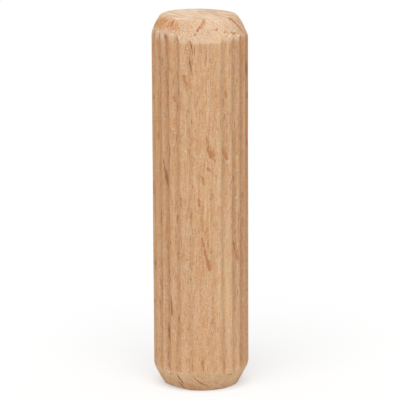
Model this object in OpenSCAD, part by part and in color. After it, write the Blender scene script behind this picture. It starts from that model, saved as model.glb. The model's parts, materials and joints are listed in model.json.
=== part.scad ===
// Fluted dowel pin, turned from one piece of beech.
// It stands on its lower end: the origin is the centre of that end face and +Z runs up the pin.

/* [Pin] */
// Diameter over the lands, a press fit in a 10 mm hole
pin_d = 10.2; // [6:0.1:20]
// Overall length
pin_len = 40; // [20:1:100]

/* [Ends] */
// Length of the lead-in chamfer at each end, along the pin
chamfer_len = 2.3; // [0.5:0.1:6]
// How far each chamfer comes in from the lands
chamfer_depth = 1; // [0.3:0.1:2]

/* [Flutes] */
// Number of glue flutes around the pin
flute_count = 26; // [12:1:32]
// Width of a flute between its two lands
flute_w = 0.7; // [0.4:0.02:0.9]
// Depth of a flute below the lands
flute_depth = 0.2; // [0.1:0.02:0.3]
// Angle of the first flute from +X, counter-clockwise from above
flute_start = -90; // [-180:1:180]

/* [Hidden] */
// Facets of a full turn
$fn = 96;
// How far a cutter runs past the ends of the pin
overrun = 1;
// Radius over the lands
pin_r = pin_d / 2;
// Radius of the two flat end faces
face_r = pin_r - chamfer_depth;
// Radius of the round cutter whose groove has the flute's width and depth
cutter_r = (pow(flute_w / 2, 2) + pow(flute_depth, 2)) / (2 * flute_depth);
// Distance of the cutter's centre from the axis of the pin
cutter_orbit = pin_r - flute_depth + cutter_r;
// Turn from one flute to the next
flute_pitch = 360 / flute_count;

// Half section of the turned blank, from the axis outwards: end face, chamfer, land, chamfer, end face
module blank_section() {
    polygon([
        [0, 0],
        [face_r, 0],
        [pin_r, chamfer_len],
        [pin_r, pin_len - chamfer_len],
        [face_r, pin_len],
        [0, pin_len],
    ]);
}

// One straight round-bottomed flute along the whole pin; it runs out on the two chamfers
module flute_cutter() {
    translate([cutter_orbit, 0, -overrun])
        cylinder(r = cutter_r, h = pin_len + 2 * overrun);
}

module dowel_pin() {
    color("burlywood")
        difference() {
            rotate_extrude()
                blank_section();
            for (i = [0 : flute_count - 1])
                rotate([0, 0, flute_start + i * flute_pitch])
                    flute_cutter();
        }
}

dowel_pin();
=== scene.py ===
import json
import math

import bpy
import numpy as np
from mathutils import Euler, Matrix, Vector, noise


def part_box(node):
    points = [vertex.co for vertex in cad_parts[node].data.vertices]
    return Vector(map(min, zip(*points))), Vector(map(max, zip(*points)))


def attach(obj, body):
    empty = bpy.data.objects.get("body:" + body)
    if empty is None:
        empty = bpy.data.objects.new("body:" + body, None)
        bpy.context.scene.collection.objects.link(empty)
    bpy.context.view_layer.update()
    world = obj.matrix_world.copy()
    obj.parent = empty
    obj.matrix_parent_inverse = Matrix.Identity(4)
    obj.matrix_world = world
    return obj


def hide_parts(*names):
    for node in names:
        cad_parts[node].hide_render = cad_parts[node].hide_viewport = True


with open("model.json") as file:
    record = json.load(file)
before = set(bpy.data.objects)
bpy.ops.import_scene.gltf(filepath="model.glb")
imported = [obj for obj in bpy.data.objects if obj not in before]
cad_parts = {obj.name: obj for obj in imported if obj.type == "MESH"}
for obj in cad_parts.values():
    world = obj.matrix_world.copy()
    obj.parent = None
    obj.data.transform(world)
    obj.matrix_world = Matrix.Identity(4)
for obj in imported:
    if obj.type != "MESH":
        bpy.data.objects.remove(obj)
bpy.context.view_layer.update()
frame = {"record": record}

# A fluted dowel pin of steamed beech, as one closed mesh. Its points keep what happened to the wood there,
# such as how far a cutter went or where a ray lies, and the beech reads that back as colour, relief and
# painted shade.

# ---- The pin's sizes in millimetres, from the imported model, and how many flutes it has ----

MM = 0.001
low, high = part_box("dowel_pin")
shank = next(m for m in frame["record"]["mounts"] if m["name"] == "shank")
PIN_R = shank["dims"]["r_mm"]
PIN_LEN = (high.z - low.z) / MM
FLUTE_COUNT = 26

# ---- How the real pin came out of the fluting, chamfering and sawing, in millimetres ----
# Angles round the pin are in degrees from the front, -Y, and grow towards +X.

# A flute from its middle to where it has run into the land, and the depth of a full one
FLUTE_HALF_W = 0.5
FLUTE_DEPTH = 0.2
# Flutes by number, counted from the front towards +X: degrees off their place, share of the full depth
# at mid height, and how much of that they gain by the top and lose by the bottom
FRONT_FLUTES = {
    -6: (-2.5, 0.9, 0.1), -5: (-4.4, 1.05, 0.35), -4: (-2.1, 1.0, 0.1), -3: (-2.4, 1.1, 0.0),
    -2: (-1.0, 0.85, 0.2), -1: (1.2, 0.5, 0.0), 0: (0.2, 0.2, 0.0), 1: (1.6, 0.4, 0.0), 2: (2.0, 0.95, 0.0),
    3: (3.5, 1.1, 0.1), 4: (4.1, 1.15, 0.15), 5: (4.3, 0.85, 0.2), 6: (3.0, 0.9, 0.0),
}
# How far any other flute may be off its place, the range of its share of the depth, and the seed for both
STRAY = 0.8
DEPTH_RANGE = (0.5, 1.15)
FLUTE_SEED = 4
# How far a flute wanders to either side, and over what length
WANDER = 0.06
WANDER_LEN = 7
# What share of its depth a flute gains and loses along the pin, and over what length
UNEVEN = 0.3
UNEVEN_LEN = 4
# Flutes are at their shallowest this far from each end, and for this much on either side of that
SHALLOW_AT = 2
SHALLOW_REACH = 1.6
# How far the lands lie below the full radius, on average, and how far raised fibres stand out
LAND_LOW = 0.02
FIBRE_RELIEF = 0.009

# Each end: radius of the sawn face, length of the chamfer, rounding of the face's edge,
# how far the chamfer bulges, how much more it does on its fuller side, and where that side is,
# how much deeper the cutter went on one side, and where, and the share of their depth that the flutes lose
BOTTOM_END = dict(face_r=3.9, length=2.27, edge=0.2, bulge=0.06, fuller=0.04, full_side=-90,
                  deeper=0.0, deep_side=0, shallower=0.1)
TOP_END = dict(face_r=4.05, length=2.36, edge=0.5, bulge=0.08, fuller=0.1, full_side=-90,
               deeper=0.09, deep_side=14, shallower=0.25)
# How far round a deeper cut reaches, in degrees
DEEP_REACH = 55
# How far the cut ends crumbled, from what radius outwards, and over what distance that comes in
CRUMBLE = 0.03
CRUMBLE_FROM = 3.6
CRUMBLE_OVER = 0.5
# Where a chamfer meets the wall: the width of the rounding, how far a torn lip stands out, what share
# of that it has away from a flute's flanks, how sharply lips start and stop, and how much deeper than
# the wall the cutter has to go for the wood to look wholly cut
MEETING = 0.07
LIP = 0.05
LIP_ON_LAND = 0.2
LIP_CONTRAST = 2
CUT_FADE = 0.16
# Smooth noise for each of these: changes per mm along X, Y and Z, and a seed
FIBRE_NOISE = ((3, 3, 0.25), 1)
CRUMBLE_NOISE = ((3, 3, 3), 2)
LIP_NOISE = ((1.6, 1.6, 0.8), 3)
# The upper face was sawn out of square: it falls this far towards its low side,
# and the slope has died out at this distance below it
OUT_OF_SQUARE = 0.18
LOW_SIDE = 55
SLOPE_REACH = 1.2
# Where the lower face has worn away at its edge: towards which side, from how far out,
# and how far up for each millimetre outwards
WORN_BASE = [(-50, 3.17, 0.25), (60, 3.5, 0.25)]

# Torn bits: angle, height, half width, half height and depth
TORN = [
    (92, 39.78, 2.8, 0.5, 0.11),
    (81, 2.3, 0.5, 0.35, 0.14),
    (48, 37.95, 0.22, 0.3, 0.1),
    (-45, 37.7, 0.2, 0.5, 0.1),
    (-29, 37.7, 0.2, 0.4, 0.08),
    (150, 37.8, 0.3, 0.4, 0.12),
    (-140, 2.2, 0.4, 0.3, 0.12),
]

# ---- What grew in the wood, what marks it took, and painted shade among them ----

# The growth rings stand upright and cross the pin with their normal at this angle to +X
RING_TURN = math.radians(31.5)
# Paler and browner growth, and painted shade: distance from the pin's axis across the rings, height, half
# width, half length, how far it drifts across the rings for each mm upwards, and strength, below 0 for
# browner
GROWTH_AND_SHADE = [
    (0.3, 9, 1.4, 13, -0.1, 0.3),
    (-0.3, 21, 1.2, 14, -0.1, 0.18),
    (-0.6, 38, 1.2, 5, 0.0, 0.2),
    (1.0, 28, 0.5, 12, 0.0, 0.1),
    (1.8, 1, 1.0, 4, 0.0, 0.22),
    (-3.2, 0, 2.2, 1.3, 0.0, -0.3),
    (0, 1.7, 12, 0.9, 0.0, 0.12),
    (-4.0, 39.6, 3.0, 2.6, 0.0, -0.21),
    (3.0, 39.3, 1.9, 1.7, 0.0, -0.12),
    (3.0, 40.5, 1.9, 1.0, 0.0, 0.2),
    (-2.6, 40.6, 2.2, 0.9, 0.0, 1.0),
    (-4.6, 1.9, 1.6, 0.7, 0.0, 0.16),
    (3.4, 1.9, 1.9, 0.7, 0.0, 0.14),
    (1.9, 40.2, 0.3, 1.2, 0.0, -0.35),
    (2.5, 40.2, 0.5, 1.2, 0.0, -0.2),
    (2.65, 14, 0.4, 40, 0.0, -0.25),
    (2.6, 4.5, 0.35, 4.5, 0.0, -0.25),
    # painted shade: browner bands along the pin's left and right edges, strongest high up on the right edge
    (3.7, 28, 0.8, 15, 0.0, -0.5),
    (-5.1, 27, 0.6, 16, 0.0, -0.18),
    (-4.6, 20, 2.0, 30, 0.0, -0.1),
    (-0.35, 15, 0.4, 6, 0.0, -0.14),
    (2.1, 20, 0.8, 32, 0.0, -0.09),
    (3.2, 20, 0.7, 32, 0.0, -0.07),
    # painted shade again, down both of the pin's edges
    (4.2, 18, 1.6, 40, 0.0, -0.11),
    (-4.8, 34, 1.4, 5, 0.0, -0.07),
    (4.4, 34, 1.6, 6, 0.0, -0.12),
    (-0.9, 34.2, 1.5, 3, 0.0, 0.2),
    (-0.3, 29, 0.6, 5, 0.0, 0.08),
    (-2.5, 36.4, 0.8, 2.4, 0.0, -0.1),
    (-4.75, 36.8, 0.5, 1.8, 0.0, -0.1),
    (2.7, 35.5, 2.2, 5, 0.0, -0.18),
    (-4.7, 14.2, 1.4, 2.8, 0.0, -0.1),
    (-1.5, 11.5, 0.8, 4, 0.0, 0.09),
    (-3.65, 6.5, 0.7, 4.5, 0.0, -0.09),
    (0.95, 5.5, 0.6, 3, 0.0, -0.1),
    (-0.3, 2.6, 1.0, 2, 0.0, 0.1),
    (3.2, 3, 0.8, 1.6, 0.0, 0.15),
]

# Marks by kind: degrees round, height, half width, half length, lean in degrees, above 0 where the top end
# is at the smaller angle, and strength. A ray is a short brown one, a fleck is broad and soft, a track is a
# dark line in the grain, frayed bits are the pale ends of fibres, and a stain is orange. A few rays are
# painted shade in the flutes instead.
MARKS = {
    "fleck": [
        (4.9, 39.52, 0.33, 0.85, -32, 0.85),
        (1.5, 18.5, 0.28, 1.8, 6, 0.75),
        (11.5, 14, 0.3, 0.8, 8, 0.6),
        (8.8, 5.8, 0.3, 0.7, 6, 0.7),
        (49, 14.9, 0.45, 1.2, 8, 0.7),
        (48.3, 8.2, 0.2, 0.4, 57, 0.65),
        (20, 31.9, 0.22, 0.45, 11, 0.7),
        (9.4, 34.7, 0.18, 0.35, 4, 0.7),
        (4.3, 33.3, 0.14, 0.3, 15, 0.7),
        (14.5, 25.9, 0.4, 1.1, 24, 0.75),
        (-17, 33.4, 0.36, 1.3, 11, 0.7),
    ],
    "ray": [
        (-18.4, 33.7, 0.22, 0.95, 12, 0.85),
        (-16.8, 32.6, 0.1, 0.5, 8, 0.65),
        (-32, 31.6, 0.17, 0.6, 12, 0.85),
        (-28.6, 30.7, 0.12, 0.8, 5, 0.85),
        (-22.6, 27.75, 0.1, 0.28, -39, 1.1),
        (32, 32.0, 0.15, 0.5, 12, 0.95),
        (8.4, 27.2, 0.22, 0.6, 8, 0.72),
        (9.6, 26.6, 0.16, 0.3, 15, 0.9),
        (10.6, 25.9, 0.15, 0.85, 22, 1.15),
        (13.8, 25.75, 0.4, 0.95, 23, 0.68),
        (17, 25.1, 0.12, 0.35, 40, 0.8),
        (30.6, 25.75, 0.24, 0.85, 33, 0.85),
        (33, 25.25, 0.18, 0.36, 45, 1.05),
        (9.2, 24.25, 0.19, 0.32, 30, 1.1),
        (11, 24.05, 0.13, 0.26, 50, 1.0),
        (2.4, 23.1, 0.16, 0.8, 14, 0.9),
        (-2, 20.7, 0.22, 0.65, 10, 0.9),
        (2.9, 16.3, 0.14, 0.9, 13, 1.2),
        (5.6, 15.2, 0.16, 0.8, 15, 1.2),
        (8.8, 14.1, 0.3, 0.95, 18, 0.98),
        (9.4, 13.7, 0.19, 0.4, 12, 1.1),
        (-44.8, 15.5, 0.14, 0.6, 3, 0.9),
        (-16.5, 16.6, 0.09, 0.5, 4, 0.75),
        (-16.4, 14.55, 0.09, 0.32, 55, 1.05),
        (-57.5, 13.7, 0.1, 0.25, -60, 0.75),
        (-24.6, 5.5, 0.12, 0.12, 0, 1.0),
        (49.6, 14.5, 0.27, 0.75, 16, 0.85),
        (1.7, 3.2, 0.17, 0.9, 3, 0.95),
        (77, 34.3, 0.34, 1.1, 4, 1.0),
        (79, 31.4, 0.3, 0.6, 4, 0.9),
        (78, 26.4, 0.3, 0.6, 4, 0.9),
        (62.6, 20.9, 0.2, 0.5, 0, 0.8),
        (60.5, 27.1, 0.2, 0.4, -30, 0.7),
        (62.8, 24.65, 0.09, 0.35, 72, 0.8),
        (-81, 21.6, 0.5, 1.2, 0, 0.8),
        (-80, 31.2, 0.5, 0.8, 0, 0.7),
        (-73.5, 13.4, 0.18, 0.9, 4, 0.95),
        (-79, 9.2, 0.4, 0.4, 0, 0.7),
        (3.4, 39.42, 0.12, 0.7, -32, 0.65),
        (-16, 39.35, 0.1, 0.14, 0, 0.7),
        (-0.5, 39.08, 0.15, 0.24, -30, 1.1),
        (-2.8, 38.78, 0.17, 0.22, -50, 1.2),
        (-5.6, 38.4, 0.12, 0.24, -40, 0.82),
        (-40.6, 39.4, 0.17, 0.5, -20, 1.25),
        (-46, 37.95, 0.17, 0.45, 20, 1.0),
        (-45, 37.45, 0.14, 0.42, 10, 0.95),
        (45.6, 38.34, 0.14, 0.28, 50, 1.0),
        (48.5, 38.28, 0.12, 0.34, -68, 0.92),
        (23.9, 38.86, 0.1, 0.26, -46, 0.68),
        (21.0, 38.82, 0.1, 0.22, 53, 0.85),
        (17.6, 38.84, 0.1, 0.26, -48, 0.75),
        (72, 38.0, 0.3, 0.3, 60, 0.6),
        (51.8, 39.75, 0.2, 0.5, 72, 0.8),
        (56.8, 39.36, 0.22, 0.7, 50, 0.8),
        (64, 38.72, 0.18, 1.1, 40, 1.05),
        # painted shade: these six rays are the flutes' shaded lower ends and the shadow lines where flutes
        # run out into the lower chamfer
        (38.5, 1.75, 0.11, 0.8, 82, 0.72),
        (-27, 3.1, 0.14, 1.1, 2, 0.68),
        (-11, 3.1, 0.13, 1.2, -2, 0.64),
        (45.2, 2.5, 0.13, 1.1, 0, 0.8),
        (29.4, 2.9, 0.13, 0.9, 0, 0.7),
        (29.5, 2.05, 0.08, 0.35, 42, 0.75),
        (3, 0.82, 0.12, 1.2, 58, 0.95),
        (-6, 1.35, 0.12, 0.8, 46, 0.85),
        (14, 0.6, 0.09, 0.4, 70, 0.6),
        (-42, 2.1, 0.12, 0.6, 12, 0.8),
        (104, 29.5, 0.16, 0.8, 10, 0.9),
        (118, 12.4, 0.22, 0.9, 12, 0.9),
        (131, 23.6, 0.14, 0.6, 20, 0.95),
        (133, 22.7, 0.24, 0.7, 24, 0.75),
        (146, 34.6, 0.15, 0.7, 8, 0.85),
        (158, 8.6, 0.12, 0.5, 6, 0.9),
        (167, 17.2, 0.26, 1.1, 9, 0.8),
        (-176, 27.9, 0.14, 0.5, -20, 0.85),
        (-161, 31.5, 0.2, 0.9, 11, 0.9),
        (-149, 11.3, 0.14, 0.6, 14, 1.0),
        (-147, 10.4, 0.26, 0.8, 20, 0.75),
        (-133, 20.6, 0.13, 0.6, 5, 0.9),
        (-118, 26.2, 0.2, 0.8, 10, 0.85),
        (-104, 6.4, 0.15, 0.6, 8, 0.85),
        (-112, 39.2, 0.13, 0.6, -36, 0.9),
        (139, 38.9, 0.12, 0.5, 50, 0.9),
        (108, 1.3, 0.12, 0.9, 50, 0.85),
        (-155, 1.0, 0.12, 0.8, 44, 0.85),
    ],
    "track": [
        (-40.8, 39.4, 0.1, 0.4, -20, 0.6),
        (-9.9, 37.15, 0.12, 1.0, 11, 0.9),
        (-11.6, 35.3, 0.12, 1.0, 8, 1.0),
        (-50.5, 35.4, 0.13, 0.55, 4, 0.8),
        (-39.6, 25.75, 0.12, 1.25, 0, 0.95),
        (-29.5, 27.4, 0.09, 0.7, 0, 0.65),
        (-46.2, 23.3, 0.17, 1.5, 10, 1.0),
        (-48.8, 24.7, 0.1, 0.6, 11, 0.95),
        (77, 34.2, 0.26, 0.9, 4, 0.8),
        (78, 31.4, 0.3, 0.45, 0, 0.85),
        (78, 26.4, 0.3, 0.3, 0, 0.6),
        (-74.5, 13.3, 0.19, 1.1, 3, 0.95),
        (-72.5, 22.5, 0.3, 0.5, 0, 0.6),
        (-72.5, 20.7, 0.3, 0.5, 0, 0.6),
        (-24, 20.8, 0.1, 1.2, 0, 0.8),
        (-29.4, 19.1, 0.11, 0.6, 0, 0.85),
        (-57.0, 18.6, 0.13, 1.4, 0, 0.85),
        (-28.8, 15.1, 0.1, 0.28, -50, 0.9),
        (-56.8, 13.8, 0.13, 0.6, 0, 0.7),
        (-43, 12.95, 0.13, 0.42, 0, 0.9),
        (-39.8, 12.05, 0.1, 0.55, 5, 0.85),
        (-38.9, 16.2, 0.1, 0.65, 3, 0.85),
        (-12.4, 12.4, 0.1, 0.35, 0, 0.8),
        (-56.6, 11.1, 0.13, 0.6, 0, 0.7),
        (-38.4, 9.7, 0.12, 0.85, 3, 1.1),
        (-37.6, 8.85, 0.13, 0.9, 3, 1.1),
        (-44.2, 6.4, 0.19, 1.05, 3, 1.0),
        (-45.3, 4.2, 0.11, 1.6, -4, 0.6),
        (-44, 2.7, 0.11, 0.6, 14, 0.65),
        (-28.2, 8.0, 0.1, 0.85, 0, 0.95),
        (45.3, 22.9, 0.11, 0.7, 0, 0.75),
        (57.1, 23.8, 0.1, 0.75, 0, 0.7),
        (46.0, 15.65, 0.12, 0.8, 5, 0.95),
        (56.8, 16.3, 0.11, 0.85, 0, 0.8),
        (-59, 5.3, 0.1, 0.4, -50, 0.5),
        (-11.4, 4.2, 0.08, 0.9, 4, 0.5),
        (-0.5, 39.1, 0.1, 0.18, -30, 0.5),
        (-2.8, 38.78, 0.12, 0.18, -50, 0.65),
        (-46.2, 38.05, 0.13, 0.3, 30, 0.85),
        (-28, 37.3, 0.1, 0.6, 0, 0.5),
        (-29, 1.4, 0.13, 0.85, 24, 0.95),
        (-29.5, 0.6, 0.14, 0.7, 40, 0.95),
        (-6, 1.45, 0.09, 0.7, 46, 0.55),
        (96, 17.6, 0.13, 0.9, 3, 0.85),
        (125, 32.2, 0.11, 1.0, 5, 0.85),
        (152, 26.1, 0.12, 1.2, 2, 0.9),
        (174, 11.9, 0.11, 0.7, 0, 0.85),
        (-166, 20.3, 0.14, 1.3, 3, 0.9),
        (-141, 33.6, 0.12, 0.8, 5, 0.85),
        (-124, 14.8, 0.13, 1.0, 0, 0.85),
        (-108, 21.9, 0.12, 0.6, 3, 0.8),
        (-157, 1.5, 0.1, 0.5, 30, 0.7),
    ],
    "frayed": [
        (-32, 39.88, 0.1, 1.4, 90, 0.7),
        (-62, 38.42, 0.1, 0.4, 78, 0.75),
        (-50.5, 38.1, 0.11, 0.35, 50, 0.75),
        (-36, 38.3, 0.09, 0.45, 86, 0.75),
        (-25, 38.1, 0.09, 0.3, -60, 0.7),
        (-12.5, 38.05, 0.09, 0.3, 65, 0.7),
        (39.4, 38.1, 0.08, 0.75, -61, 1.05),
        (48.5, 37.95, 0.1, 0.3, -80, 0.45),
        (54.5, 38.0, 0.12, 0.3, 75, 1.0),
        (59.5, 39.4, 0.08, 1.2, 46, 0.7),
        (-44, 2.05, 0.1, 0.3, 40, 0.8),
        (-36, 2.15, 0.09, 0.3, -40, 0.6),
        (-24, 2.1, 0.09, 0.4, -75, 0.6),
        (-14, 2.0, 0.09, 0.5, 70, 0.6),
        (20, 2.1, 0.08, 0.6, 85, 0.5),
        (37, 1.8, 0.08, 0.5, 85, 0.6),
        (103, 38.1, 0.1, 0.5, 70, 0.9),
        (126, 38.0, 0.1, 0.4, -65, 0.8),
        (155, 37.8, 0.1, 0.5, 80, 0.9),
        (-171, 38.0, 0.09, 0.6, -75, 0.8),
        (-143, 38.1, 0.1, 0.4, 62, 0.9),
        (-121, 38.2, 0.09, 0.5, -80, 0.8),
        (117, 2.1, 0.09, 0.4, 80, 0.6),
        (171, 2.2, 0.09, 0.5, -70, 0.6),
        (-132, 2.1, 0.09, 0.5, 75, 0.6),
    ],
    "stain": [
        (-60, 39.2, 2.8, 1.0, 0, 0.62),
        (-80, 39.0, 1.0, 0.5, 0, 0.85),
        (51.8, 39.78, 0.28, 0.55, 72, 1.2),
        (56.8, 39.4, 0.28, 0.7, 50, 1.1),
        (177, 39.94, 1.4, 0.13, 0, 0.8),
        (-66, 39.5, 0.12, 0.3, -70, 1.1),
        (-57, 39.3, 0.14, 0.25, -40, 1.1),
        (-53, 39.55, 0.15, 0.35, -60, 1.2),
        (-46, 39.1, 0.12, 0.3, -50, 1.1),
        (-72, 39.0, 0.12, 0.35, -75, 1.1),
        (-38, 39.2, 0.1, 0.25, -50, 0.9),
        (23.6, 38.88, 0.11, 0.3, -48, 0.8),
        (20.6, 38.8, 0.1, 0.24, 50, 0.9),
        (34, 38.52, 0.09, 0.26, -62, 0.78),
        (-31, 38.9, 0.12, 0.25, -60, 0.8),
        (-35, 39.0, 2.0, 0.85, 0, 0.55),
        (-45, 39.3, 1.0, 0.6, 0, 0.62),
        (-72, 39.2, 1.0, 0.6, 0, 0.72),
    ],
}

# ---- How the mesh is laid out, in rows up the pin and columns round it ----

# Rows on each sawn face, round its edge, and up the wall between the two ends
FACE_ROWS = 10
EDGE_ROWS = 6
WALL_ROWS = 158
# From one row to the next up a chamfer, and how far such close rows go on past it
CHAMFER_STEP = 0.08
PAST_CHAMFER = 0.8
# The innermost row of a face, which a fan of triangles closes
FAN_R = 0.35
# Columns from a flute's middle outwards, the same on both sides, and more of them on each land
FLUTE_COLUMNS = (0, 0.08, 0.17, 0.26, 0.35, 0.45)
LAND_COLUMNS = 3

# Steps through the noise that keep each flute's and each seed's part of it apart from the next
FLUTE_STEP = 3.7
SEED_STEP = (17.3, 5.1, 9.7)
# A mark is full in its middle and has thinned out to nothing at so many of its half widths
MARK_REACH = 1.5

# The bake's square takes the pin's whole surface at one scale, in shares of its side for each mm: the wall
# and chamfers unrolled, a little in from its edge, and beside them the sawn faces, one above the other
MAP_SCALE = 1 / 41.5
MAP_EDGE = 0.006
DISCS = ((0.893, 0.11), (0.893, 0.35))


def apart(a, degrees):
    """How far round from the given place each angle lies, in radians, the short way."""
    return (a - math.radians(degrees) + math.pi) % (2 * math.pi) - math.pi


def bell(u):
    """1 at 0, easing to 0 at -1 and 1."""
    return np.clip(1 - u * u, 0, 1) ** 2


def hump(u):
    """0 at 0 and at 1, and 1 halfway."""
    return 4 * u * (1 - u)


def soft_min(a, b, k):
    """The smaller of a and b, rounded over a width of k where they cross, and how far it is a."""
    h = np.clip(0.5 + 0.5 * (b - a) / k, 0, 1)
    return b + (a - b) * h - k * h * (1 - h), h


def drift(points, per_mm, seed):
    """Smooth noise from about -1 to 1 at each point, with so many changes per mm along X, Y and Z."""
    away = Vector([seed * step for step in SEED_STEP])
    flat = points.reshape(-1, 3) * per_mm
    return np.array([noise.noise(Vector(p) + away) for p in flat]).reshape(points.shape[:-1])


def wavering(heights, length):
    """Smooth noise from about -1 to 1 up each flute, with changes about as long as given."""
    starts = [number * FLUTE_STEP for number in range(FLUTE_COUNT)]
    return np.array([[noise.noise(Vector((s, h / length, length))) for s in starts] for h in heights])


def flute_places():
    """Angle of each flute in radians, in order round the pin, its share of the full depth,
    and what that share gains by the top."""
    rng = np.random.default_rng(FLUTE_SEED)
    places = []
    for i in range(FLUTE_COUNT):
        any_flute = rng.uniform(-STRAY, STRAY), rng.uniform(*DEPTH_RANGE), 0.0
        number = (i + FLUTE_COUNT // 2) % FLUTE_COUNT - FLUTE_COUNT // 2
        stray, share, gain = FRONT_FLUTES.get(number, any_flute)
        places.append((math.radians(number * 360 / FLUTE_COUNT + stray), share, gain))
    return np.array(sorted(places)).T


def columns(angles):
    """The mesh's columns: angle, number of the nearest flute, distance from its middle in mm."""
    near = np.array(FLUTE_COLUMNS) / PIN_R
    out = []
    for i, a in enumerate(angles):
        j = (i + 1) % len(angles)
        b = angles[j] + (2 * math.pi if j == 0 else 0)
        lands = np.linspace(a + near[-1], b - near[-1], LAND_COLUMNS + 2)[1:-1]
        out += [(a + t, i, t) for t in near]
        out += [(t, i, t - a) if t - a < b - t else (t, j, t - b) for t in lands]
        out += [(b - t, j, -t) for t in near[:0:-1]]
    angle, flute, off = np.array(out).T
    return angle, flute.astype(int), off * PIN_R


def end_line(end):
    """Half outline of one end, from near the middle of its face outwards: depth below the face, radius."""
    lean = math.atan2(PIN_R - end["face_r"], end["length"])
    edge = end["edge"]
    flat = end["face_r"] - edge * math.tan((math.pi / 2 - lean) / 2)
    face = [(0.0, r) for r in np.linspace(FAN_R, flat, FACE_ROWS)]
    turns = np.linspace(0, math.pi / 2 - lean, EDGE_ROWS + 1)[1:]
    arc = [(edge * (1 - math.cos(t)), flat + edge * math.sin(t)) for t in turns]
    d0, r0 = arc[-1]
    depths = np.arange(d0 + CHAMFER_STEP, end["length"] + PAST_CHAMFER, CHAMFER_STEP)
    return face + arc + [(d, r0 + (d - d0) * math.tan(lean)) for d in depths]


def flute_depths(heights, z, flute, off, shares, gains):
    """How deep each point's flute is at that height, and how far the point lies in it, from 0 to 1."""
    x = off - WANDER * wavering(heights, WANDER_LEN)[:, flute]
    share = shares[flute] * (1 + gains[flute] * (2 * z / PIN_LEN - 1))
    depth = FLUTE_DEPTH * share * (1 + UNEVEN * wavering(heights, UNEVEN_LEN)[:, flute])
    for end, down in ((BOTTOM_END, z), (TOP_END, PIN_LEN - z)):
        depth = depth * (1 - end["shallower"] * bell((down - SHALLOW_AT) / SHALLOW_REACH))
    return depth, bell(x / FLUTE_HALF_W)


def chamfered(cut, a, z):
    """How far out the end cutters left the wood: a little fuller than a cone, and deeper on one side."""
    for end, down in ((BOTTOM_END, z), (TOP_END, PIN_LEN - z)):
        swell = end["bulge"] + end["fuller"] * np.cos(a - math.radians(end["full_side"]))
        swell = swell * hump(np.clip(down / end["length"], 0, 1))
        deeper = end["deeper"] * bell(apart(a, end["deep_side"]) / math.radians(DEEP_REACH))
        deeper = deeper * np.clip(cut / PIN_R, 0, 1)
        cut = np.where(down < PIN_LEN / 2, cut + swell - deeper, cut)
    return cut


def sawn_and_worn(a, r, z):
    """The heights once the upper face is sawn out of square and the lower one is worn."""
    near_top = np.clip(1 - (PIN_LEN - z) / SLOPE_REACH, 0, 1)
    low_side = r * np.cos(a - math.radians(LOW_SIDE)) / TOP_END["face_r"]
    z = z - near_top * OUT_OF_SQUARE / 2 * (1 + low_side)
    for at, start, rise in WORN_BASE:
        z = np.maximum(z, rise * (r * np.cos(a - math.radians(at)) - start))
    return z


def growth_and_shade_bands(a, r, z):
    """How much paler the wood grew at each point, or how much browner, below 0, with painted shade in some
    browner bands.
    """
    across_rings = r * (np.sin(a) * math.cos(RING_TURN) - np.cos(a) * math.sin(RING_TURN))
    return sum(
        strength * bell((across_rings - at - slope * (z - height)) / half_w) * bell((z - height) / half_len)
        for at, height, half_w, half_len, slope, strength in GROWTH_AND_SHADE
    )


def in_marks(a, z, marks):
    """How strongly each point lies in one of the marks, which are pointed spindles on the unrolled wall."""
    field = np.zeros_like(a)
    for at, height, half_w, half_len, lean, strength in marks:
        across = apart(a, at) * PIN_R
        c, s = math.cos(math.radians(lean)), math.sin(math.radians(lean))
        u = (across * c + (z - height) * s) / half_w
        v = ((z - height) * c - across * s) / half_len
        inside = np.clip(MARK_REACH - np.abs(u) - v * v, 0, MARK_REACH) / MARK_REACH
        field = np.maximum(field, strength * inside)
    return field


def quads(grid):
    """The four corners of each quad, counterclockwise, in a grid whose last column repeats the first."""
    return np.stack([grid[:-1, :-1], grid[:-1, 1:], grid[1:, 1:], grid[1:, :-1]], 2)


def skin(m, n):
    """The faces of m rings of n points, closed at both ends by a fan round one point more."""
    ring = np.arange(m * n).reshape(m, n)
    ring = np.column_stack([ring, ring[:, 0]])
    under = np.stack([np.full(n, m * n), ring[0, 1:], ring[0, :-1]], 1)
    over = np.stack([np.full(n, m * n + 1), ring[-1, :-1], ring[-1, 1:]], 1)
    return quads(ring).reshape(-1, 4).tolist() + under.tolist() + over.tolist()


def bake_map(heights, radii, angle, r):
    """Where each corner of each face goes on the bake's square."""
    turn = np.append(angle, angle[0] + 2 * math.pi)
    steps = np.hypot(np.diff(heights), np.diff(np.minimum(radii, PIN_R)))
    along = np.concatenate([[0], np.cumsum(steps)]) - steps[:FACE_ROWS - 1].sum()
    strip = np.stack(np.broadcast_arrays((turn - turn[0]) * PIN_R, along[:, None]), -1)
    r = np.column_stack([r, r[:, 0]])
    under, over = (
        np.stack([side * r * np.sin(turn), -r * np.cos(turn)], -1) * MAP_SCALE + middle
        for side, middle in zip((-1, 1), DISCS)
    )
    corners = quads(strip * MAP_SCALE + MAP_EDGE)
    corners[:FACE_ROWS - 1] = quads(under[:FACE_ROWS])
    corners[-(FACE_ROWS - 1):] = quads(over[-FACE_ROWS:])
    n = len(angle)
    fans = [[np.tile(DISCS[0], (n, 1)), under[0, 1:], under[0, :-1]],
            [np.tile(DISCS[1], (n, 1)), over[-1, :-1], over[-1, 1:]]]
    return np.concatenate([corners.ravel(), *(np.stack(f, 1).ravel() for f in fans)])


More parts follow.
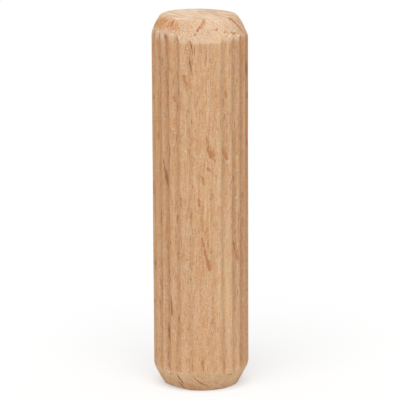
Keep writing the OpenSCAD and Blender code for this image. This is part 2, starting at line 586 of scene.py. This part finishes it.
def fluted_pin():
    """The whole pin as one closed mesh, whose points also say how deep they lie in a flute, how far an
    end tool cut them, how near they are to a torn lip, how the wood grew there with some painted shade, and
    what marks it has."""
    centres, shares, gains = flute_places()
    angle, flute, off = columns(centres)
    lower = end_line(BOTTOM_END)
    upper = [(PIN_LEN - d, r) for d, r in reversed(end_line(TOP_END))]
    # up the wall the cutters' radius is well outside the pin, so that they leave it alone
    wall = [(z, 2 * PIN_R) for z in np.linspace(lower[-1][0], upper[0][0], WALL_ROWS + 2)[1:-1]]
    heights, radii = np.array(lower + wall + upper).T
    m, n = len(heights), len(angle)
    a = np.tile(angle, (m, 1))
    z, cut = (np.repeat(column[:, None], n, 1) for column in (heights, radii))
    on_wall = np.stack([np.sin(a) * PIN_R, -np.cos(a) * PIN_R, z], -1)

    depth, groove = flute_depths(heights, z, flute, off, shares, gains)
    body = PIN_R - LAND_LOW - depth * groove + FIBRE_RELIEF * drift(on_wall, *FIBRE_NOISE)
    cut = chamfered(cut, a, z)
    crumbling = np.clip((cut - CRUMBLE_FROM) / CRUMBLE_OVER, 0, 1)
    r, chamfer = soft_min(cut + CRUMBLE * drift(on_wall, *CRUMBLE_NOISE) * crumbling, body, MEETING)

    # the cutters left torn lips here and there where chamfer and wall meet, most on the flutes' flanks
    flank = hump(groove) * depth / FLUTE_DEPTH
    torn = np.clip(0.5 + LIP_CONTRAST * drift(on_wall, *LIP_NOISE), 0, 1)
    lip = hump(chamfer) * torn * (LIP_ON_LAND + (1 - LIP_ON_LAND) * flank)
    r = r + LIP * lip
    for at, height, half_w, half_h, deep in TORN:
        r = r - deep * bell(apart(a, at) * PIN_R / half_w) * bell((z - height) / half_h)
    z = sawn_and_worn(a, r, z)

    points = np.stack([r * np.sin(a), -r * np.cos(a), z], -1).reshape(-1, 3)
    middles = np.array([[0, 0, 0], [0, 0, PIN_LEN - OUT_OF_SQUARE / 2]])
    me = bpy.data.meshes.new("fluted_dowel")
    me.from_pydata(np.concatenate([points, middles]) * MM, [], skin(m, n))
    me.polygons.foreach_set("use_smooth", [True] * len(me.polygons))
    places = bake_map(heights, radii, angle, r).astype(np.float32)
    me.uv_layers.new(name="OFBake").uv.foreach_set("vector", places)

    sawn = np.zeros((m, n))
    sawn[:FACE_ROWS] = sawn[-FACE_ROWS:] = 1
    # the beech turns groove into painted shade in the flutes, and growth also holds painted shade down the
    # pin's edges
    facts = {
        "groove": depth / FLUTE_DEPTH * groove * (1 - chamfer),
        "lip": lip,
        "cut": np.clip(0.5 + 0.5 * (body - cut) / CUT_FADE, 0, 1),
        "sawn": sawn,
        "growth": growth_and_shade_bands(a, r, z),
    }
    facts.update((kind, in_marks(a, z, marks) * (1 - sawn)) for kind, marks in MARKS.items())
    for name, value in facts.items():
        values = np.concatenate([value.ravel(), [value[0, 0], value[-1, 0]]])
        me.attributes.new(name, "FLOAT", "POINT").data.foreach_set("value", values.astype(np.float32))
    me.update()
    return me


# ---- Materials ----

def linear(text):
    """An sRGB hex colour as the linear colour that nodes take."""
    parts = [int(text[i:i + 2], 16) / 255 for i in (1, 3, 5)]
    return (*(c / 12.92 if c <= 0.04045 else ((c + 0.055) / 1.055) ** 2.4 for c in parts), 1)


def bare_tree(owner):
    """The node tree of a material or world, emptied."""
    owner.use_nodes = True
    owner.node_tree.nodes.clear()
    return owner.node_tree


def add(tree, kind, inputs=(), out=None, **settings):
    """Adds a node, sets it up, and sets or links its live sockets in order, or by name from a dict.
    Returns the output of the given name, or else its first live one."""
    node = tree.nodes.new("ShaderNode" + kind)
    for name, value in settings.items():
        setattr(node, name, value)
    live = [s for s in node.inputs if s.enabled]
    named = isinstance(inputs, dict)
    pairs = [(node.inputs[k], v) for k, v in inputs.items()] if named else zip(live, inputs)
    for socket, value in pairs:
        if isinstance(value, bpy.types.NodeSocket):
            tree.links.new(value, socket)
        else:
            socket.default_value = value
    return node.outputs[out] if out else next((s for s in node.outputs if s.enabled), None)


# The fibres run up the pin, leaning a little, and the rings stand across them
FIBRES = (math.radians(-1.5), math.radians(2.5), RING_TURN)
# The end cutters' marks slant across the fibres
SLANT = (0, math.radians(-52), 0)

# Grain is laid over the wood's colour in turn: name, size in mm across the rings, along them and along the
# fibres, where its noise starts to show and where it is full, colour and strength.
# Beech grows 1 to 3 mm in a year, in strands about 0.5 mm wide. Its vessels are 0.05 to 0.08 mm wide and
# its fibres and fuzz 0.02 mm: too fine to show, so they are drawn 0.12 to 0.2 mm wide.
WALL_GRAIN = [
    ("browner growth", (1.3, 6.0, 30), 0.44, 0.66, "#C08C61", 0.20),
    ("paler growth", (0.9, 5.0, 18), 0.48, 0.68, "#E6C5A0", 0.18),
    ("orange clouds", (0.7, 0.7, 2.6), 0.48, 0.70, "#D38C58", 0.15),
    ("strands", (0.45, 0.45, 9.0), 0.48, 0.70, "#B98A5E", 0.26),
    ("dark fibres", (0.2, 0.2, 5.0), 0.46, 0.66, "#C0743A", 0.31),
    ("pale fibres", (0.2, 0.2, 4.0), 0.48, 0.68, "#E6CFB1", 0.24),
    ("vessels", (0.18, 0.18, 1.2), 0.56, 0.70, "#CF7020", 0.45),
    # painted shade between the raised fuzz and painted highlights on it, each with a little relief as well
    ("painted shade in the fuzz", (0.12, 0.12, 1.2), 0.57, 0.69, "#985628", 0.56),
    ("lit fuzz", (0.12, 0.12, 0.2), 0.50, 0.70, "#EFE2CE", 0.41),
]
# On the sawn ends each ring's dark late wood is about 0.6 mm wide, with finer lines between, and the rays
# are 0.14 mm wide. The pores are the vessels cut across, and are drawn as coarse as those.
SAWN_GRAIN = [
    ("rings", (0.6, 5.0, 5.0), 0.46, 0.60, "#C99C74", 1.0),
    ("fine rings", (0.25, 2.5, 5.0), 0.48, 0.62, "#D0AC89", 1.0),
    ("rays", (2.2, 0.14, 5.0), 0.54, 0.68, "#D2AE8A", 1.0),
    ("pores", (0.16, 0.16, 5.0), 0.54, 0.68, "#E6CDB2", 1.0),
]
# Patterns on the ends: size in mm, where the noise starts to show and where it is full, and how it lies if
# not along the fibres. Torn fibres leave crumbs and specks of about this size. The cutters' marks are finer
# than they are drawn here.
CRUMBS = ((0.13, 0.13, 0.18), 0.38, 0.62)
SPECKS = ((0.16, 0.16, 0.2), 0.5, 0.66, SLANT)
CUTTER_MARKS = ((0.2, 0.2, 2.2), 0.48, 0.62, SLANT)
# What makes the marks ragged, told in the same way
RAGGED = ((0.17, 0.17, 0.35), 0.32, 0.68)
# How far these stand out of the wood, in mm, or lie sunk in it, below 0
CRUMBS_OUT = 0.011
CUTTER_MARKS_OUT = -0.012
GRAIN_OUT = {"dark fibres": -0.002, "lit fuzz": 0.002, "painted shade in the fuzz": -0.002}
MARKS_OUT = -0.014
# A small orange fleck on the upper sawn face: its place, its half sizes, and how far out it is full
TOP_FLECK_AT = (0.0, 1.75, PIN_LEN)
TOP_FLECK_HALF = (0.21, 0.6, 1.0)
TOP_FLECK_CORE = 0.45
# Kind of mark in the order they are laid over the wood, colour, where it starts to show, and how fully:
# a later start leaves it in finer bits
MARK_COLOURS = [
    ("stain", "#C47D34", 0.5, 0.9), ("frayed", "#F3DCC2", 0.4, 1.0), ("fleck", "#C68C60", 0.35, 0.85),
    ("ray", "#BA7E54", 0.35, 1.0), ("track", "#9A6B4C", 0.35, 1.0),
]
# Where every kind of mark shows fully
MARK_FULL = 1.05
# Unvarnished beech is rough, a little more so in its orange clouds
BEECH_ROUGH = (0.78, 0.9)
BEECH_IOR = 1.5


def streaks(tree, place, size, start, full, lie=FIBRES):
    """Patches of the given size in mm all through the wood, lying along its fibres unless turned."""
    at = add(tree, "Mapping", (place, (0, 0, 0), lie, size), vector_type="TEXTURE")
    cloud = add(tree, "TexNoise", {"Vector": at, "Scale": 1.0, "Detail": 2.0, "Roughness": 0.5})
    return add(tree, "MapRange", (cloud, start, full, 0.0, 1.0), interpolation_type="SMOOTHSTEP")


def grained(tree, place, colour, grain):
    """The colour with each kind of grain laid over it in turn, and where each kind lies, by name."""
    masks = {}
    for name, size, start, full, tone, strength in grain:
        masks[name] = streaks(tree, place, size, start, full)
        amount = add(tree, "Math", (masks[name], strength), operation="MULTIPLY")
        colour = add(tree, "Mix", (amount, colour, linear(tone)), data_type="RGBA")
    return colour, masks


def sawn_wood(tree, place):
    """The sawn ends' colour: growth rings, rays and pores, and the upper one's orange fleck."""
    colour, _ = grained(tree, place, linear("#E4D1BD"), SAWN_GRAIN)
    at = add(tree, "Mapping", (place, TOP_FLECK_AT, FIBRES, TOP_FLECK_HALF), vector_type="TEXTURE")
    away = add(tree, "VectorMath", (at,), operation="LENGTH")
    fleck = add(tree, "MapRange", (away, 1.0, TOP_FLECK_CORE, 0.0, 1.0))
    return add(tree, "Mix", (fleck, colour, linear("#CC7F3C")), data_type="RGBA")


def cut_ends(tree, place, colour):
    """The colour with the ends laid over it: the upper chamfer's torn grain, the lower one's slanting
    cutter marks, the sawn faces and white torn lips. Also the chamfers' relief, in mm."""
    cut, lip, sawn = (add(tree, "Attribute", out="Fac", attribute_name=n) for n in ("cut", "lip", "sawn"))
    up = add(tree, "SeparateXYZ", (place,), out="Z")
    upper = add(tree, "Math", (up, PIN_LEN / 2), operation="GREATER_THAN")
    lower = add(tree, "Math", (up, PIN_LEN / 2), operation="LESS_THAN")
    upper_cut = add(tree, "Math", (upper, cut), operation="MULTIPLY")
    lower_cut = add(tree, "Math", (lower, cut), operation="MULTIPLY")
    crumbs, specks, slants = (streaks(tree, place, *p) for p in (CRUMBS, SPECKS, CUTTER_MARKS))
    torn_wood = add(tree, "Mix", (crumbs, linear("#DDBA97"), linear("#F1E2CF")), data_type="RGBA")
    for where, shape, tone, strength in (
        (lower_cut, 1.0, linear("#E6C6A2"), 0.35),
        (upper_cut, 1.0, torn_wood, 0.6),
        (upper_cut, specks, linear("#CF8C56"), 0.36),
        (lower_cut, slants, linear("#B88253"), 0.45),
        (upper_cut, slants, linear("#C48F62"), 0.2),
        (sawn, 1.0, sawn_wood(tree, place), 0.85),
        (upper, lip, linear("#F7E4CC"), 0.5),
        (lower, lip, linear("#E8CDAA"), 0.5),
    ):
        amount = add(tree, "Math", (where, shape), operation="MULTIPLY")
        amount = add(tree, "Math", (amount, strength), operation="MULTIPLY")
        colour = add(tree, "Mix", (amount, colour, tone), data_type="RGBA")
    raised = add(tree, "Math", (crumbs, upper_cut), operation="MULTIPLY")
    scored = add(tree, "Math", (slants, lower_cut), operation="MULTIPLY")
    return colour, [(raised, CRUMBS_OUT), (scored, CUTTER_MARKS_OUT)]


def marked(tree, place, colour):
    """The colour with every kind of mark laid over it, and how strong the marks are at each point."""
    ragged = streaks(tree, place, *RAGGED)
    strongest = 0.0
    for kind, tone, start, most in MARK_COLOURS:
        field = add(tree, "Attribute", out="Fac", attribute_name=kind)
        field = add(tree, "Math", (ragged, field, field), operation="MULTIPLY_ADD")
        mask = add(tree, "MapRange", (field, start, MARK_FULL, 0.0, most), interpolation_type="SMOOTHSTEP")
        colour = add(tree, "Mix", (mask, colour, linear(tone)), data_type="RGBA")
        strongest = add(tree, "Math", (strongest, mask), operation="MAXIMUM")
    return colour, strongest


def beech():
    """Steamed beech, fluted and chamfered by blunt tools, and left bare. To the eye it has fine straight
    fibres with orange vessels and short brown rays, flutes darkened by painted shade, torn pale ends and no
    shine."""
    mat = bpy.data.materials.new("fluted beech")
    tree = bare_tree(mat)
    here = add(tree, "TexCoord", out="Object")
    place = add(tree, "VectorMath", (here, (1 / MM,) * 3), operation="MULTIPLY")
    groove, growth = (add(tree, "Attribute", out="Fac", attribute_name=n) for n in ("groove", "growth"))

    colour, masks = grained(tree, place, linear("#D6A97A"), WALL_GRAIN)
    # painted shade in the flutes, darker where they are deeper, and a little browner
    colour = add(tree, "Mix", (groove, colour, linear("#E8E3DF")), data_type="RGBA", blend_type="MULTIPLY")
    colour, relief = cut_ends(tree, place, colour)
    # paler and browner growth, some browner bands being painted shade: a mix takes what is below 0 as 0, so
    # each leaves the other's wood alone
    browner = add(tree, "Math", (growth, -1.0), operation="MULTIPLY")
    colour = add(tree, "Mix", (growth, colour, linear("#F2CFA2")), data_type="RGBA")
    colour = add(tree, "Mix", (browner, colour, linear("#B87C4A")), data_type="RGBA")
    colour, marks = marked(tree, place, colour)

    relief += [(masks[name], out) for name, out in GRAIN_OUT.items()]
    height = 0.0
    for shape, out in (*relief, (marks, MARKS_OUT)):
        height = add(tree, "Math", (shape, out, height), operation="MULTIPLY_ADD")
    bump = add(tree, "Bump", {"Height": height, "Distance": MM, "Strength": 1.0})
    rough = add(tree, "MapRange", (masks["orange clouds"], 0.0, 1.0, *BEECH_ROUGH))
    wood = {"Base Color": colour, "Roughness": rough, "IOR": BEECH_IOR, "Normal": bump}
    add(tree, "OutputMaterial", (add(tree, "BsdfPrincipled", wood),))
    return mat


# ---- Camera: a long lens, a little above the pin ----

# Angles in degrees, the aim in millimetres, the distance in metres
CAMERA_ELEVATION = 11.755
CAMERA_ROLL = -0.2829
CAMERA_AIM = (-0.06, 0, PIN_LEN / 2 - 0.046)
CAMERA_AWAY = 0.2861
CAMERA_LENS = 241.83

scene = bpy.context.scene


def placed(name, data):
    """A new object in the scene that holds the given mesh, lamp or camera."""
    thing = bpy.data.objects.new(name, data)
    scene.collection.objects.link(thing)
    return thing


def direction(aside, elevation):
    """Which way a thing lies from the pin, so many degrees aside from the front and above level."""
    aside, elevation = math.radians(aside), math.radians(elevation)
    level = math.cos(elevation)
    return Vector((math.sin(aside) * level, -math.cos(aside) * level, math.sin(elevation)))


back = direction(0, CAMERA_ELEVATION)
camera = placed("camera", bpy.data.cameras.new("camera"))
camera.location = Vector(CAMERA_AIM) * MM + back * CAMERA_AWAY
camera.rotation_mode = "QUATERNION"
roll = Euler((0, 0, math.radians(CAMERA_ROLL))).to_quaternion()
camera.rotation_quaternion = back.to_track_quat("Z", "Y") @ roll
camera.data.lens = CAMERA_LENS
camera.data.clip_start = 0.01
camera.data.clip_end = 20
scene.camera = camera

# ---- The pin ----

pin = placed("fluted_dowel", fluted_pin())
pin.data.materials.append(beech())
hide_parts("dowel_pin")
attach(pin, "root")

# ---- Floor and light ----

# How brightly a white surface is lit from all round, and by one large soft lamp that it faces
AMBIENT = 0.56
KEY = 0.58
# How far the lamp is aside and above level, and how wide it looks from the pin, in degrees
KEY_ASIDE = -5
KEY_ELEVATION = 62
KEY_WIDTH = 50
# The floor's half width in metres, and the share of light that it gives back to the pin
FLOOR_HALF = 3.0
BOUNCE = 0.8
# How bright the open floor looks to the camera, just past white, and how much of that the pin can shade
WHITE = 1.01
SHADED = 0.5


def studio():
    """The light from all round. The camera and anything glossy see it as white."""
    world = bpy.data.worlds.new("studio")
    tree = bare_tree(world)
    camera_ray, glossy_ray = (add(tree, "LightPath", out=n) for n in ("Is Camera Ray", "Is Glossy Ray"))
    seen = add(tree, "Math", (camera_ray, glossy_ray), operation="MAXIMUM")
    level = add(tree, "Mix", (seen, AMBIENT, 1.0), data_type="FLOAT")
    add(tree, "OutputWorld", (add(tree, "Background", ((1, 1, 1, 1), level)),))
    return world


def white_board():
    """Board painted matt white: it has no shine, keeps a soft shadow and lights the pin from below."""
    mat = bpy.data.materials.new("matt white board")
    tree = bare_tree(mat)
    seen = add(tree, "LightPath", out="Is Camera Ray")
    open_floor = AMBIENT + KEY * math.sin(math.radians(KEY_ELEVATION))
    tone = add(tree, "Mix", (seen, BOUNCE, SHADED / open_floor), data_type="FLOAT")
    paint = add(tree, "BsdfDiffuse", (tone,))
    glow = add(tree, "Math", (seen, WHITE - SHADED), operation="MULTIPLY")
    glow = add(tree, "Emission", ((1, 1, 1, 1), glow))
    add(tree, "OutputMaterial", (add(tree, "AddShader", (paint, glow)),))
    return mat


scene.world = studio()
key = placed("key", bpy.data.lights.new("key", "SUN"))
key.data.angle = math.radians(KEY_WIDTH)
key.data.energy = KEY * math.pi
key.rotation_euler = direction(KEY_ASIDE, KEY_ELEVATION).to_track_quat("Z", "Y").to_euler()

floor = placed("floor", bpy.data.meshes.new("floor"))
corners = [(x * FLOOR_HALF, y * FLOOR_HALF, 0) for x, y in ((-1, -1), (1, -1), (1, 1), (-1, 1))]
floor.data.from_pydata(corners, [], [(0, 1, 2, 3)])
floor.data.materials.append(white_board())

scene.view_settings.view_transform = "Standard"
